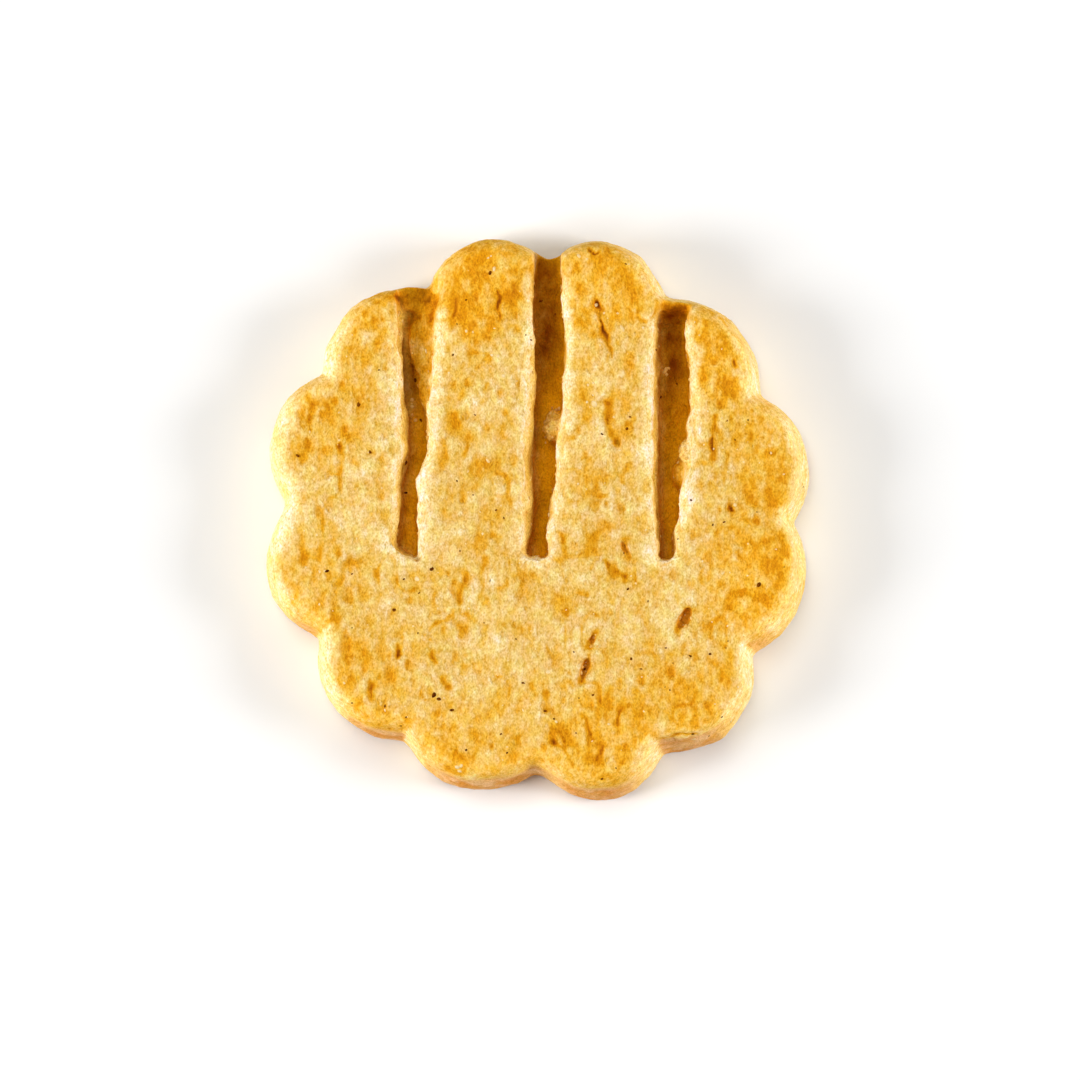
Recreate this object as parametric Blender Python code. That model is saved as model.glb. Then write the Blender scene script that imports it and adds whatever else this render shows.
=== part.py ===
"""A sesame cheese sable: a fluted round shortbread biscuit with three deep grooves in its top.

The biscuit lies on its flat baked underside. The origin is in the middle of that underside, +Z is up,
and +Y points to the end of the biscuit where the grooves run out through the rim.
Sizes below are in millimetres, and MM turns them into metres.
"""
import math

import bmesh
import bpy
import numpy as np
from mathutils import Vector, noise

MM = 0.001

THICKNESS = 8.0

# The fluted cutter left twelve round lobes, clockwise from the one left of the middle groove.
# Each is an arc: the direction of its centre in degrees, how far out that centre lies, its radius,
# and how softly the dough fills the valley between it and the next lobe.
LOBES = [
    (101.7, 20.35, 6.33, 0.80),
    (74.8, 20.75, 6.02, 0.72),
    (45.4, 17.79, 8.02, 0.31),
    (14.8, 18.10, 7.61, 0.13),
    (-15.9, 16.77, 8.63, 0.23),
    (-47.9, 19.28, 7.04, 0.65),
    (-74.7, 20.65, 5.98, 1.20),
    (-106.9, 17.72, 8.02, 0.28),
    (-135.5, 18.54, 7.26, 0.61),
    (-167.7, 19.01, 6.78, 1.19),
    (-200.3, 18.81, 7.41, 0.12),
    (-228.8, 18.00, 8.23, 0.12),
]
POINTS_PER_LOBE = 15
VALLEY_SEARCH = 400  # directions tried between two lobes to find their valley

FOOT_ROUND = 0.5  # radius where the side turns under
EDGE_ROUND_IN = 1.7  # how far in the soft upper edge starts
EDGE_ROUND_DOWN = 2.6  # how far down it ends
LEAN_MEAN = 0.55  # the side leans in this far from foot to upper edge
LEAN_SWING = 0.35  # and this much more or less
LEAN_MOST_TOWARDS = -30.0  # direction in degrees of the most lean, where the dough spread furthest

TOP_SWELL = 0.14  # height of the top's slow waves
TOP_SWELL_LENGTH = 6.5  # length of one wave
TOP_RINGS = 7  # rings of faces from the upper edge to the middle

LIP_DROP = 1.25  # a groove's lip rounds over within this depth
WALL_SHARE = 0.12  # share of the way from floor edge to lip that a wall leans before it rounds over
LIP_STEPS = 4
FLOOR_DIP = 0.12  # a floor is this much lower along its middle
FLOOR_FILLET = 0.35  # and turns up into the wall over this height
# Past a groove's inner end: the distance, the share of its width that is left, and the floor's height.
END_STEPS = [(0.55, 0.55, 7.80), (0.38, 0.82, 7.40), (0.20, 0.94, 6.70)]
ABOVE_TOP = 1.5  # a cutter runs this far above the top

# A groove is a list of cross-sections from its inner end outwards, and a cross-section is
# (y, floor height, lip on the left, floor's left edge, floor's right edge, lip on the right).
# The left groove is deep for most of its length and opens into a shallow ramp at the rim.
GROOVES = {
    "left_groove": [
        (-3.2, 4.3, -13.4, -13.1, -11.2, -10.0),
        (-1.8, 4.2, -13.4, -13.1, -11.2, -9.9),
        (-0.2, 4.1, -13.5, -12.9, -11.2, -9.8),
        (1.5, 4.1, -13.5, -12.7, -11.1, -9.6),
        (3.2, 4.1, -13.6, -12.6, -11.2, -9.2),
        (4.5, 4.1, -13.5, -12.5, -10.8, -9.1),
        (6.1, 4.1, -13.5, -11.9, -10.2, -8.9),
        (8.0, 4.1, -13.4, -12.3, -10.2, -8.9),
        (9.8, 4.1, -13.3, -12.2, -10.3, -8.9),
        (11.2, 4.1, -13.2, -12.3, -10.9, -10.3),
        (13.5, 4.2, -13.2, -12.4, -11.1, -10.6),
        (15.4, 4.7, -12.9, -12.4, -11.6, -11.1),
        (16.8, 5.1, -12.8, -12.4, -11.7, -11.2),
        (18.4, 5.5, -12.7, -12.4, -11.7, -11.2),
        (19.5, 6.2, -12.6, -12.2, -11.6, -11.2),
    ],
    "left_ramp": [
        (9.5, 6.0, -12.7, -11.8, -10.5, -9.1),
        (11.2, 5.8, -13.1, -12.2, -10.0, -8.9),
        (13.5, 5.8, -13.2, -12.4, -9.9, -8.7),
        (15.4, 5.8, -13.4, -12.7, -9.5, -8.3),
        (17.3, 5.8, -13.5, -12.7, -9.3, -8.2),
        (19.1, 5.9, -13.7, -12.7, -9.3, -8.2),
        (20.1, 5.7, -13.7, -12.7, -9.2, -8.2),
        (24.0, 5.0, -13.7, -12.7, -9.3, -8.2),
    ],
    "middle_groove": [
        (-3.6, 3.9, -1.8, -0.9, 0.9, 1.8),
        (-2.2, 3.8, -1.9, -0.9, 0.8, 1.8),
        (-0.4, 3.7, -1.8, -0.5, 1.1, 2.2),
        (1.5, 3.7, -1.8, -0.1, 1.2, 2.4),
        (3.3, 3.7, -1.8, -0.2, 1.5, 2.8),
        (5.2, 3.7, -1.8, -0.3, 1.8, 2.9),
        (7.0, 3.7, -1.8, -0.3, 1.8, 3.1),
        (8.9, 3.7, -1.7, -0.3, 2.1, 3.3),
        (10.8, 3.7, -1.6, -0.3, 2.4, 3.5),
        (12.6, 3.7, -1.6, -0.3, 2.4, 3.5),
        (14.5, 3.6, -1.6, -0.2, 2.6, 3.6),
        (16.3, 3.6, -1.5, 0.0, 2.5, 3.5),
        (18.2, 3.6, -1.4, -0.2, 2.4, 3.4),
        (20.0, 3.6, -1.4, -0.3, 2.3, 3.3),
        (21.9, 3.6, -1.4, -0.3, 2.3, 3.3),
        (23.0, 3.5, -1.2, -0.1, 2.1, 3.1),
        (27.5, 3.0, -1.2, -0.1, 2.0, 3.0),
    ],
    "right_groove": [
        (-3.8, 3.9, 10.3, 11.2, 12.5, 13.3),
        (-2.7, 3.8, 10.3, 11.3, 12.5, 13.4),
        (-1.5, 3.7, 10.1, 11.4, 12.6, 13.5),
        (-0.4, 3.7, 10.0, 11.4, 13.1, 14.1),
        (1.5, 3.7, 9.9, 11.4, 13.2, 14.4),
        (2.9, 3.7, 10.0, 11.4, 13.2, 14.5),
        (4.3, 3.7, 9.9, 11.4, 13.4, 14.7),
        (5.7, 3.7, 9.9, 11.4, 13.6, 14.9),
        (7.0, 3.7, 9.8, 11.4, 13.8, 15.1),
        (8.4, 3.7, 9.8, 11.4, 13.8, 15.2),
        (9.8, 3.7, 9.8, 11.4, 14.1, 15.3),
        (11.7, 3.7, 9.7, 11.4, 14.0, 15.1),
        (13.5, 3.7, 9.9, 11.5, 14.1, 15.1),
        (15.4, 3.7, 9.9, 11.5, 13.8, 14.8),
        (16.8, 3.7, 10.0, 11.4, 13.7, 14.7),
        (17.9, 3.8, 10.1, 11.2, 13.8, 14.8),
        (18.6, 4.6, 10.3, 11.4, 13.9, 14.9),
        (19.1, 6.1, 10.5, 11.6, 14.1, 15.0),
        (19.6, 6.3, 10.6, 11.7, 14.2, 15.0),
        (20.2, 6.0, 10.7, 11.8, 14.2, 15.0),
        (23.5, 5.2, 10.7, 11.8, 14.2, 15.0),
    ],
}
# Where a groove's left wall leans in as a narrow ledge: y, and the share that replaces WALL_SHARE.
LEFT_LEDGES = {
    "middle_groove": [(-2.5, 0.12), (-0.4, 0.35), (1.5, 0.48), (7.0, 0.42), (10.8, 0.20), (12.6, 0.12)],
    "right_groove": [(-3.0, 0.12), (-1.5, 0.35), (16.0, 0.35), (17.5, 0.12)],
}
RAMP_TILT = {"left_ramp": 0.5}  # a floor that is this much higher on its right
END_SLANTS = {"left_groove": 0.5}  # an inner end that lies this much further in on its right, per mm across
SLANT_FADES = 3.0  # over this length from the inner end

# Lumps of torn dough left on a groove's wall: x, y, z, half width, half length, half height.
LUMPS = {
    "middle_lump": (2.15, 8.3, 4.4, 1.20, 1.35, 2.1),
    "right_lump": (13.45, 4.1, 4.2, 1.05, 1.45, 2.2),
    "upper_right_lump": (14.05, 6.3, 5.0, 0.70, 0.90, 1.6),
}

# Short tears in the baked top: x, y, half length, half width, depth, and the way it points in degrees.
TEARS = {
    "upper_tear": (5.2, -11.5, 0.80, 0.29, 0.70, 74.0),
    "lower_tear": (4.5, -14.2, 1.14, 0.38, 1.00, 77.0),
    "right_tear": (13.6, -9.6, 1.06, 0.38, 1.05, 63.0),
    "faint_tear": (8.3, -3.2, 0.95, 0.42, 0.55, 298.0),
}

CRUST_COLOUR = (0.84, 0.51, 0.13, 1.0)
CRUST_ROUGHNESS = 0.72


def clear_scene():
    for old in list(bpy.data.objects):
        bpy.data.objects.remove(old, do_unlink=True)


def crust_material():
    material = bpy.data.materials.new("baked_crust")
    material.use_nodes = True
    shader = material.node_tree.nodes["Principled BSDF"]
    shader.inputs["Base Color"].default_value = CRUST_COLOUR
    shader.inputs["Roughness"].default_value = CRUST_ROUGHNESS
    shader.inputs["Metallic"].default_value = 0.0
    return material


def single_reach(lobe, directions):
    """How far one lobe's arc reaches in each direction, and 0 where it doesn't reach."""
    degrees, centre, radius, _ = lobe
    turn = directions - math.radians(degrees)
    inside = radius**2 - (centre * np.sin(turn)) ** 2
    hit = (inside > 0) & (np.cos(turn) > 0)
    return np.where(hit, centre * np.cos(turn) + np.sqrt(np.maximum(inside, 0)), 0)


def lobe_reach(directions):
    """How far the foot of the side reaches: the outermost lobe, softly blended in the valleys."""
    reaches = [single_reach(lobe, directions) for lobe in LOBES]
    furthest = np.zeros_like(directions)
    for i, (_, _, _, fillet) in enumerate(LOBES):
        here, following = reaches[i], reaches[(i + 1) % len(LOBES)]
        blend = fillet * np.log1p(np.exp(-np.abs(here - following) / fillet))
        furthest = np.maximum(furthest, np.maximum(here, following) + blend)
    return furthest


def outline_directions():
    """Directions round the biscuit, evenly spread over each lobe, with one exactly in every valley."""
    valleys = []
    for i, lobe in enumerate(LOBES):
        following = LOBES[(i + 1) % len(LOBES)]
        turn = (lobe[0] - following[0]) % 360
        tried = np.radians(np.linspace(lobe[0], lobe[0] - turn, VALLEY_SEARCH))
        gap = np.abs(single_reach(lobe, tried) - single_reach(following, tried))
        valleys.append(tried[np.argmin(gap)])
    valleys.append(valleys[0] - 2 * math.pi)
    spans = zip(valleys, valleys[1:])
    clockwise = [np.linspace(start, end, POINTS_PER_LOBE, endpoint=False) for start, end in spans]
    return np.concatenate(clockwise)[::-1]


def side_lean(directions):
    return LEAN_MEAN + LEAN_SWING * np.cos(directions - math.radians(LEAN_MOST_TOWARDS))


def side_profile():
    """The side from the underside to the top, as (height, inset, share of the lean)."""
    steps = []
    for degrees in (0, 45, 90):
        angle = math.radians(degrees)
        steps.append((FOOT_ROUND * (1 - math.cos(angle)), FOOT_ROUND * (1 - math.sin(angle)), 0.0))
    upper = THICKNESS - EDGE_ROUND_DOWN
    for share in (0.5, 1.0):
        height = FOOT_ROUND + share * (upper - FOOT_ROUND)
        steps.append((height, 0.0, share**2))
    for degrees in (25, 48, 70, 90):
        angle = math.radians(degrees)
        height = upper + EDGE_ROUND_DOWN * math.sin(angle)
        steps.append((height, EDGE_ROUND_IN * (1 - math.cos(angle)), 1.0))
    return steps


def top_height(x, y):
    place = Vector((x, y, 0)) / TOP_SWELL_LENGTH
    return THICKNESS + TOP_SWELL * noise.noise(place)


def biscuit_rings():
    """Rings of points, from the edge of the underside up the side and in over the top."""
    directions = outline_directions()
    reach = lobe_reach(directions)
    across, along = np.cos(directions), np.sin(directions)
    middle_x = (max(reach * across) + min(reach * across)) / 2
    middle_y = (max(reach * along) + min(reach * along)) / 2
    lean = side_lean(directions)
    rings = []
    for height, inset, lean_share in side_profile():
        out = reach - inset - lean_share * lean
        swell = (height / THICKNESS) ** 4
        ring = []
        for x, y in zip(out * across - middle_x, out * along - middle_y):
            ring.append((x, y, height + swell * (top_height(x, y) - THICKNESS)))
        rings.append(ring)
    edge = rings[-1]
    for ring_number in range(1, TOP_RINGS):
        share = 1 - ring_number / TOP_RINGS
        rings.append([(x * share, y * share, top_height(x * share, y * share)) for x, y, _ in edge])
    return rings


def mesh_object(name, bm):
    bmesh.ops.recalc_face_normals(bm, faces=bm.faces)
    mesh = bpy.data.meshes.new(name)
    bm.to_mesh(mesh)
    bm.free()
    made = bpy.data.objects.new(name, mesh)
    bpy.context.scene.collection.objects.link(made)
    return made


def bridged(bm, rings):
    """Vertices for the rings, in metres, with a band of faces between each ring and the next."""
    loops = [[bm.verts.new(Vector(point) * MM) for point in ring] for ring in rings]
    for lower, upper in zip(loops, loops[1:]):
        for i in range(len(lower)):
            j = (i + 1) % len(lower)
            bm.faces.new((lower[i], lower[j], upper[j], upper[i]))
    return loops


def make_biscuit():
    bm = bmesh.new()
    loops = bridged(bm, biscuit_rings())
    bm.faces.new(loops[0][::-1])
    middle = bm.verts.new(Vector((0, 0, top_height(0, 0))) * MM)
    last = loops[-1]
    for i, vertex in enumerate(last):
        bm.faces.new((vertex, last[(i + 1) % len(last)], middle))
    biscuit = mesh_object("biscuit", bm)
    biscuit.data.materials.append(crust_material())
    biscuit.data.shade_smooth()
    biscuit.data.set_sharp_from_angle(angle=math.radians(40))
    return biscuit


def left_share(name, y):
    """How far the left wall of a groove leans at one place along it."""
    ledge = LEFT_LEDGES.get(name)
    if ledge is None:
        return WALL_SHARE
    return float(np.interp(y, *zip(*ledge)))


def groove_wall(floor_edge, lip, floor, share):
    """One wall of a cross-section, from the floor's edge up and over the rounded lip, as (x, z) points."""
    outward = math.copysign(1.0, lip - floor_edge)
    wall = floor_edge + share * (lip - floor_edge)
    wall_top = max(THICKNESS - LIP_DROP, floor + 0.5)
    points = [(floor_edge, floor), (floor_edge + 0.3 * (wall - floor_edge), floor + FLOOR_FILLET)]
    for step in range(LIP_STEPS + 1):
        angle = math.pi / 2 * step / LIP_STEPS
        x = wall + (lip - wall) * (1 - math.cos(angle))
        points.append((x, wall_top + (THICKNESS - wall_top) * math.sin(angle)))
    points.append((lip + 0.5 * outward, THICKNESS + 0.3))
    points.append((lip + 0.5 * outward, THICKNESS + ABOVE_TOP))
    return points


def groove_section(name, row, slant):
    """A closed cross-section of a groove's cutter."""
    y, floor, lip_left, floor_left, floor_right, lip_right = row
    tilt = RAMP_TILT.get(name, 0.0)
    left = groove_wall(floor_left, lip_left, floor, left_share(name, y))
    right = groove_wall(floor_right, lip_right, floor + tilt, WALL_SHARE)
    middle = (floor_left + floor_right) / 2
    outline = left[::-1] + [(middle, floor - FLOOR_DIP + 0.3 * tilt)] + right
    return [(x, y - slant * (x - middle), z) for x, z in outline]


def end_row(row, past, width, floor):
    """The first cross-section again, narrower and shallower and a little past the inner end."""
    middle = (row[3] + row[4]) / 2
    return (row[0] - past, floor, *[middle + width * (x - middle) for x in row[2:]])


def make_groove_cutter(name, rows):
    start = rows[0][0]
    ends = [end_row(rows[0], *step) for step in END_STEPS]
    bm = bmesh.new()
    rings = []
    for row in ends + rows:
        fade = 1 - min(1.0, max(0.0, (row[0] - start) / SLANT_FADES))
        rings.append(groove_section(name, row, END_SLANTS.get(name, 0.0) * fade))
    loops = bridged(bm, rings)
    bm.faces.new(loops[0][::-1])
    bm.faces.new(loops[-1])
    return mesh_object(name, bm)


def make_lump(name, x, y, z, half_width, half_length, half_height):
    bm = bmesh.new()
    bmesh.ops.create_uvsphere(bm, u_segments=10, v_segments=6, radius=1.0)
    lump = mesh_object(name, bm)
    for vertex in lump.data.vertices:
        size = Vector((half_width, half_length, half_height))
        vertex.co = (vertex.co * size + Vector((x, y, z))) * MM
    return lump


def make_tear_cutter(name, x, y, half_length, half_width, depth, degrees):
    bm = bmesh.new()
    bmesh.ops.create_uvsphere(bm, u_segments=12, v_segments=8, radius=1.0)
    cutter = mesh_object(name, bm)
    for vertex in cutter.data.vertices:
        vertex.co = Vector((vertex.co.x * half_length, vertex.co.y * half_width, vertex.co.z * depth)) * MM
    cutter.location = Vector((x, y, top_height(x, y))) * MM
    cutter.rotation_euler = (0, 0, math.radians(degrees))
    return cutter


def combine(biscuit, other, operation):
    other.hide_render = True
    other.display_type = "WIRE"
    boolean = biscuit.modifiers.new(other.name, "BOOLEAN")
    boolean.operation = operation
    boolean.solver = "EXACT"
    boolean.object = other


def main():
    clear_scene()
    biscuit = make_biscuit()
    for name, rows in GROOVES.items():
        combine(biscuit, make_groove_cutter(name, rows), "DIFFERENCE")
    for name, lump in LUMPS.items():
        combine(biscuit, make_lump(name, *lump), "UNION")
    for name, tear in TEARS.items():
        combine(biscuit, make_tear_cutter(name, *tear), "DIFFERENCE")


main()
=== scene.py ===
# %% [markdown]
# # A sesame cheese sable
#
# This is one savoury shortbread biscuit, cut with a fluted cutter, pressed with three long grooves
# and baked until its top turned golden in patches. The lesson starts from the exact solid of the
# biscuit, roughens it the way a short, buttery dough bakes, and then colours it as an oven does.
# Sizes are in millimetres unless a name says otherwise, and MM turns them into Blender's metres.

# %% The solid to dress
import itertools
import math

import bmesh
import bpy
import numpy as np
from mathutils import Matrix, Vector
from mathutils.bvhtree import BVHTree
from mathutils.kdtree import KDTree


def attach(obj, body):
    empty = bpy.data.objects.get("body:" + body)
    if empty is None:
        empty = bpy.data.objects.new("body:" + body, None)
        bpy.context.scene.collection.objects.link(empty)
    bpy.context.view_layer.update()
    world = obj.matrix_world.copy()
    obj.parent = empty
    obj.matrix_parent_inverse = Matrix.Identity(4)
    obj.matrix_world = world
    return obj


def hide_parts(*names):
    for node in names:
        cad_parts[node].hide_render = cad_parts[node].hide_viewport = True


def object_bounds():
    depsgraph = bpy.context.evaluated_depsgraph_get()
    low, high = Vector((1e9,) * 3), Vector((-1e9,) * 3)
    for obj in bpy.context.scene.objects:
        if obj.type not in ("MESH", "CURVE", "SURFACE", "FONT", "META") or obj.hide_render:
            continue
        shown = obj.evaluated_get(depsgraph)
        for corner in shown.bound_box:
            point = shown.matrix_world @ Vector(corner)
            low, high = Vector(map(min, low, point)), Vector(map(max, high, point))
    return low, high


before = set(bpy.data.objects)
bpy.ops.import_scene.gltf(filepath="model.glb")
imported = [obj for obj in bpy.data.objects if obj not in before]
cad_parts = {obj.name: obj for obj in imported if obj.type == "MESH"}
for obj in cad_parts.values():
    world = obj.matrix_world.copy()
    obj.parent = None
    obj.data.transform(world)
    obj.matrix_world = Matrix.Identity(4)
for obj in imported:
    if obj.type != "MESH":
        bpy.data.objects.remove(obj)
cad_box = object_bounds()
scene = bpy.context.scene
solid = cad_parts["biscuit"]
MM = 0.001
top_height = cad_box[1].z / MM
print("solid, mm:", [round(float(side) / MM, 1) for side in cad_box[1] - cad_box[0]])

# %% [markdown]
# ## The camera
#
# The photograph was taken from almost straight above with a long lens. A little of the lower side
# shows, so the camera leans a few degrees that way. The frame takes in 100 mm of table. The camera
# comes first because flecks and toasted patches are placed by where they lie in the photograph,
# and that needs the line of sight through a pixel.

# %% Camera
FRAME_PX = 1080
FRAME_WIDTH = 100.0
EYE_DISTANCE = 700.0
LEAN_DOWN = math.radians(4.0)
LEAN_RIGHT = math.radians(1.5)
AIM = Vector((0.252, -2.08, 4.0))

back = Vector((math.tan(LEAN_RIGHT), -math.tan(LEAN_DOWN), 1.0)).normalized()
right = Vector((0, 1, 0)).cross(back).normalized()
up = back.cross(right)
eye = AIM + back * EYE_DISTANCE

camera = bpy.data.objects.new("camera", bpy.data.cameras.new("camera"))
scene.collection.objects.link(camera)
camera.location = eye * MM
camera.rotation_mode = "QUATERNION"
camera.rotation_quaternion = Matrix((right, up, back)).transposed().to_quaternion()
camera.data.lens = camera.data.sensor_width * EYE_DISTANCE / FRAME_WIDTH
camera.data.clip_end = 10.0
scene.camera = camera


def sight(px, py):
    """The direction from the eye through a pixel of the photograph."""
    across = (px - FRAME_PX / 2) / FRAME_PX * FRAME_WIDTH
    down = (py - FRAME_PX / 2) / FRAME_PX * FRAME_WIDTH
    return (right * across - up * down - back * EYE_DISTANCE).normalized()


def pixels(places):
    """Where places in millimetres fall in the photograph, as an array of x and y."""
    away = places - np.array(eye)
    distance = -(away @ np.array(back))
    across = away @ np.array(right) / distance * EYE_DISTANCE / FRAME_WIDTH
    rise = away @ np.array(up) / distance * EYE_DISTANCE / FRAME_WIDTH
    return np.stack([0.5 + across, 0.5 - rise], -1) * FRAME_PX


print("lens, mm:", round(camera.data.lens))

# %% [markdown]
# ## Light and floor
#
# The photograph has soft light from both sides, stronger from the left, on a white ground, and the
# floors of its deep grooves still glow, so some light comes from above too. Three wide lamps and a
# pale sky do that. The floor is a plain pale sheet.

# %% Light and floor
SKY_STRENGTH = 0.20
FLOOR_SIZE = 3000.0
FLOOR_TONE = (0.93, 0.93, 0.93, 1.0)
FLOOR_ROUGHNESS = 0.9

scene.view_settings.view_transform = "Standard"


def lamp(name, place, size, watts):
    """A square lamp that faces the biscuit."""
    data = bpy.data.lights.new(name, "AREA")
    data.size = size * MM
    data.energy = watts
    made = bpy.data.objects.new(name, data)
    made.location = Vector(place) * MM
    made.rotation_euler = (-Vector(place)).to_track_quat("-Z", "Y").to_euler()
    scene.collection.objects.link(made)


lamp("left_softbox", (-430, -80, 260), 200, 1.95)
lamp("right_softbox", (430, -20, 280), 200, 1.72)
lamp("top_softbox", (-150, 240, 840), 300, 1.9)

sky = bpy.data.worlds.new("pale_sky")
sky.use_nodes = True
glow = sky.node_tree.nodes["Background"].inputs
glow["Color"].default_value = (1.0, 1.0, 1.0, 1.0)
glow["Strength"].default_value = SKY_STRENGTH
scene.world = sky

floor_mesh = bpy.data.meshes.new("floor")
half = FLOOR_SIZE / 2 * MM
corners = [(-half, -half, 0), (half, -half, 0), (half, half, 0), (-half, half, 0)]
floor_mesh.from_pydata(corners, [], [(0, 1, 2, 3)])
floor = bpy.data.objects.new("floor", floor_mesh)
scene.collection.objects.link(floor)
paper = bpy.data.materials.new("floor_paper")
paper.use_nodes = True
sheet = paper.node_tree.nodes["Principled BSDF"].inputs
sheet["Base Color"].default_value = FLOOR_TONE
sheet["Roughness"].default_value = FLOOR_ROUGHNESS
floor_mesh.materials.append(paper)

# %% [markdown]
# ## Repeatable noise
#
# The crumb of a biscuit is uneven at every size, from a slow swell of the whole top to single
# grains of flour. Moving each point of the mesh by a few layers of noise gives that. Blender's own
# noise functions take one point at a time, so these two work on all the points at once: soft waves,
# and grains, which gives each point its distance to the nearest of a cloud of scattered centres.

# %% Noise
def hashed(cells, seed):
    """A repeatable number from 0 to 1 for every whole-numbered cell."""
    # Large primes and shifts scramble the numbers of neighbouring cells.
    n = cells.astype(np.int64)
    mixed = n[..., 0] * 73856093 ^ n[..., 1] * 19349663 ^ n[..., 2] * 83492791 ^ seed * 39916801
    mixed = (mixed ^ mixed >> 13) * 1274126177 & 0xFFFFFFFF
    mixed = (mixed ^ mixed >> 16) * 2246822519 & 0xFFFFFFFF
    return (mixed ^ mixed >> 15) / 0xFFFFFFFF


def waves(places, length, seed):
    """Smooth noise from -1 to 1 with bumps about that long."""
    scaled = places / length
    home = np.floor(scaled)
    share = scaled - home
    share = share * share * (3 - 2 * share)
    total = 0
    for corner in itertools.product((0, 1), repeat=3):
        weight = np.prod(np.where(corner, share, 1 - share), axis=-1)
        total = total + weight * hashed(home + corner, seed)
    return total * 2 - 1


def grains(places, size, seed):
    """How many grain sizes away the nearest centre is, and that grain's random number."""
    scaled = places / size
    home = np.floor(scaled)
    nearest = np.full(len(places), np.inf)
    label = np.zeros(len(places))
    for step in itertools.product((-1, 0, 1), repeat=3):
        cell = home + step
        centre = cell + np.stack([hashed(cell, seed + k) for k in range(3)], -1)
        gap = np.linalg.norm(scaled - centre, axis=-1)
        closer = gap < nearest
        nearest = np.where(closer, gap, nearest)
        label = np.where(closer, hashed(cell, seed + 3), label)
    return nearest, label


def ramp(values, low, high):
    """0 below low, 1 above high, and a soft step between them."""
    share = np.clip((values - low) / (high - low), 0, 1)
    return share * share * (3 - 2 * share)


# %% [markdown]
# ## An even mesh to work on
#
# The solid has long thin triangles that can't hold fine relief. A voxel remesh turns a copy of it
# into small even squares and rounds every sharp lip a little, as crumbly dough would. The underside
# is nearly flat and out of sight, so it is thinned to save faces for the top.

# %% Even mesh
WELD = 0.001
VOXEL = 0.215
SOFTEN, SOFTEN_STEPS = 0.5, 2
SOLE_HEIGHT = 0.35
SOLE_KEEP = 0.10


def apply_modifiers(piece):
    """Turns what the modifiers show into the piece's own mesh."""
    seen = piece.evaluated_get(bpy.context.evaluated_depsgraph_get())
    mesh = bpy.data.meshes.new_from_object(seen)
    piece.modifiers.clear()
    piece.data = mesh


def read(mesh, what):
    """The place or the normal of every point, as rows of three numbers."""
    values = np.empty(len(mesh.vertices) * 3, np.float32)
    mesh.vertices.foreach_get(what, values)
    return values.reshape(-1, 3).astype(float)


def even_copy(source):
    """A copy with small even faces and lips that are slightly round."""
    mesh = source.data.copy()
    bm = bmesh.new()
    bm.from_mesh(mesh)
    bmesh.ops.remove_doubles(bm, verts=bm.verts, dist=WELD * MM)
    bm.to_mesh(mesh)
    bm.free()
    made = bpy.data.objects.new("crust", mesh)
    scene.collection.objects.link(made)
    remesh = made.modifiers.new("even", "REMESH")
    remesh.mode = "VOXEL"
    remesh.voxel_size = VOXEL * MM
    soften = made.modifiers.new("soften", "SMOOTH")
    soften.factor = SOFTEN
    soften.iterations = SOFTEN_STEPS
    apply_modifiers(made)
    return made


def thin_sole(piece):
    """Leaves fewer faces on the underside."""
    low = np.flatnonzero(read(piece.data, "co")[:, 2] < SOLE_HEIGHT * MM)
    sole = piece.vertex_groups.new(name="sole")
    sole.add([int(index) for index in low], 1.0, "REPLACE")
    thin = piece.modifiers.new("thin", "DECIMATE")
    thin.vertex_group = "sole"
    thin.ratio = 1 - (1 - SOLE_KEEP) * len(low) / len(piece.data.vertices)
    apply_modifiers(piece)


crust = even_copy(solid)
print("even mesh:", len(crust.data.vertices), "points")
thin_sole(crust)
crust.data.materials.clear()
print("crust:", len(crust.data.vertices), "points,", len(crust.data.polygons), "faces")

# %% [markdown]
# ## Where each point lies
#
# Baking treats the rim, the lips of the grooves, their floors and the sides differently. A few
# measures tell them apart: how far in from the outline a point lies and which way the outline faces
# there, how deep below the top it is, how level the surface is, and how far the nearest groove is.
# The numbers in the ramps are millimetres, or how much a normal points that way.

# %% Measures of place
ON_THE_GROUND = 0.02
ON_THE_OUTLINE = 0.2

points = read(crust.data, "co") / MM
normals = read(crust.data, "normal")

ring = np.array([v.co[:2] for v in solid.data.vertices if v.co.z < ON_THE_GROUND * MM]) / MM
ring = ring[np.argsort(np.arctan2(ring[:, 1], ring[:, 0]))]


def outline_gap(places):
    """How far inside the underside's outline each place lies, and the way the outline faces."""
    nearest = np.full(len(places), np.inf)
    outward = np.zeros((len(places), 2))
    for start, end in zip(ring, np.roll(ring, -1, axis=0)):
        along = end - start
        share = np.clip((places - start) @ along / max(along @ along, 1e-9), 0, 1)
        away = places - start - share[:, None] * along
        gap = np.linalg.norm(away, axis=1)
        out = np.array([along[1], -along[0]]) / max(np.hypot(*along), 1e-6)
        within = np.where(away @ out > 0, -1, 1)
        closer = gap < np.abs(nearest)
        facing = -away * (within / np.maximum(gap, 1e-6))[:, None]
        facing = np.where((gap > ON_THE_OUTLINE)[:, None], facing, out)
        outward = np.where(closer[:, None], facing, outward)
        nearest = np.where(closer, gap * within, nearest)
    return nearest, outward


def gap_to(places, inside):
    """Distance from each place to the nearest of the places that are inside."""
    tree = KDTree(int(inside.sum()))
    for index, place in enumerate(places[inside]):
        tree.insert(place, index)
    tree.balance()
    return np.array([tree.find(place)[2] for place in places])


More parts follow.
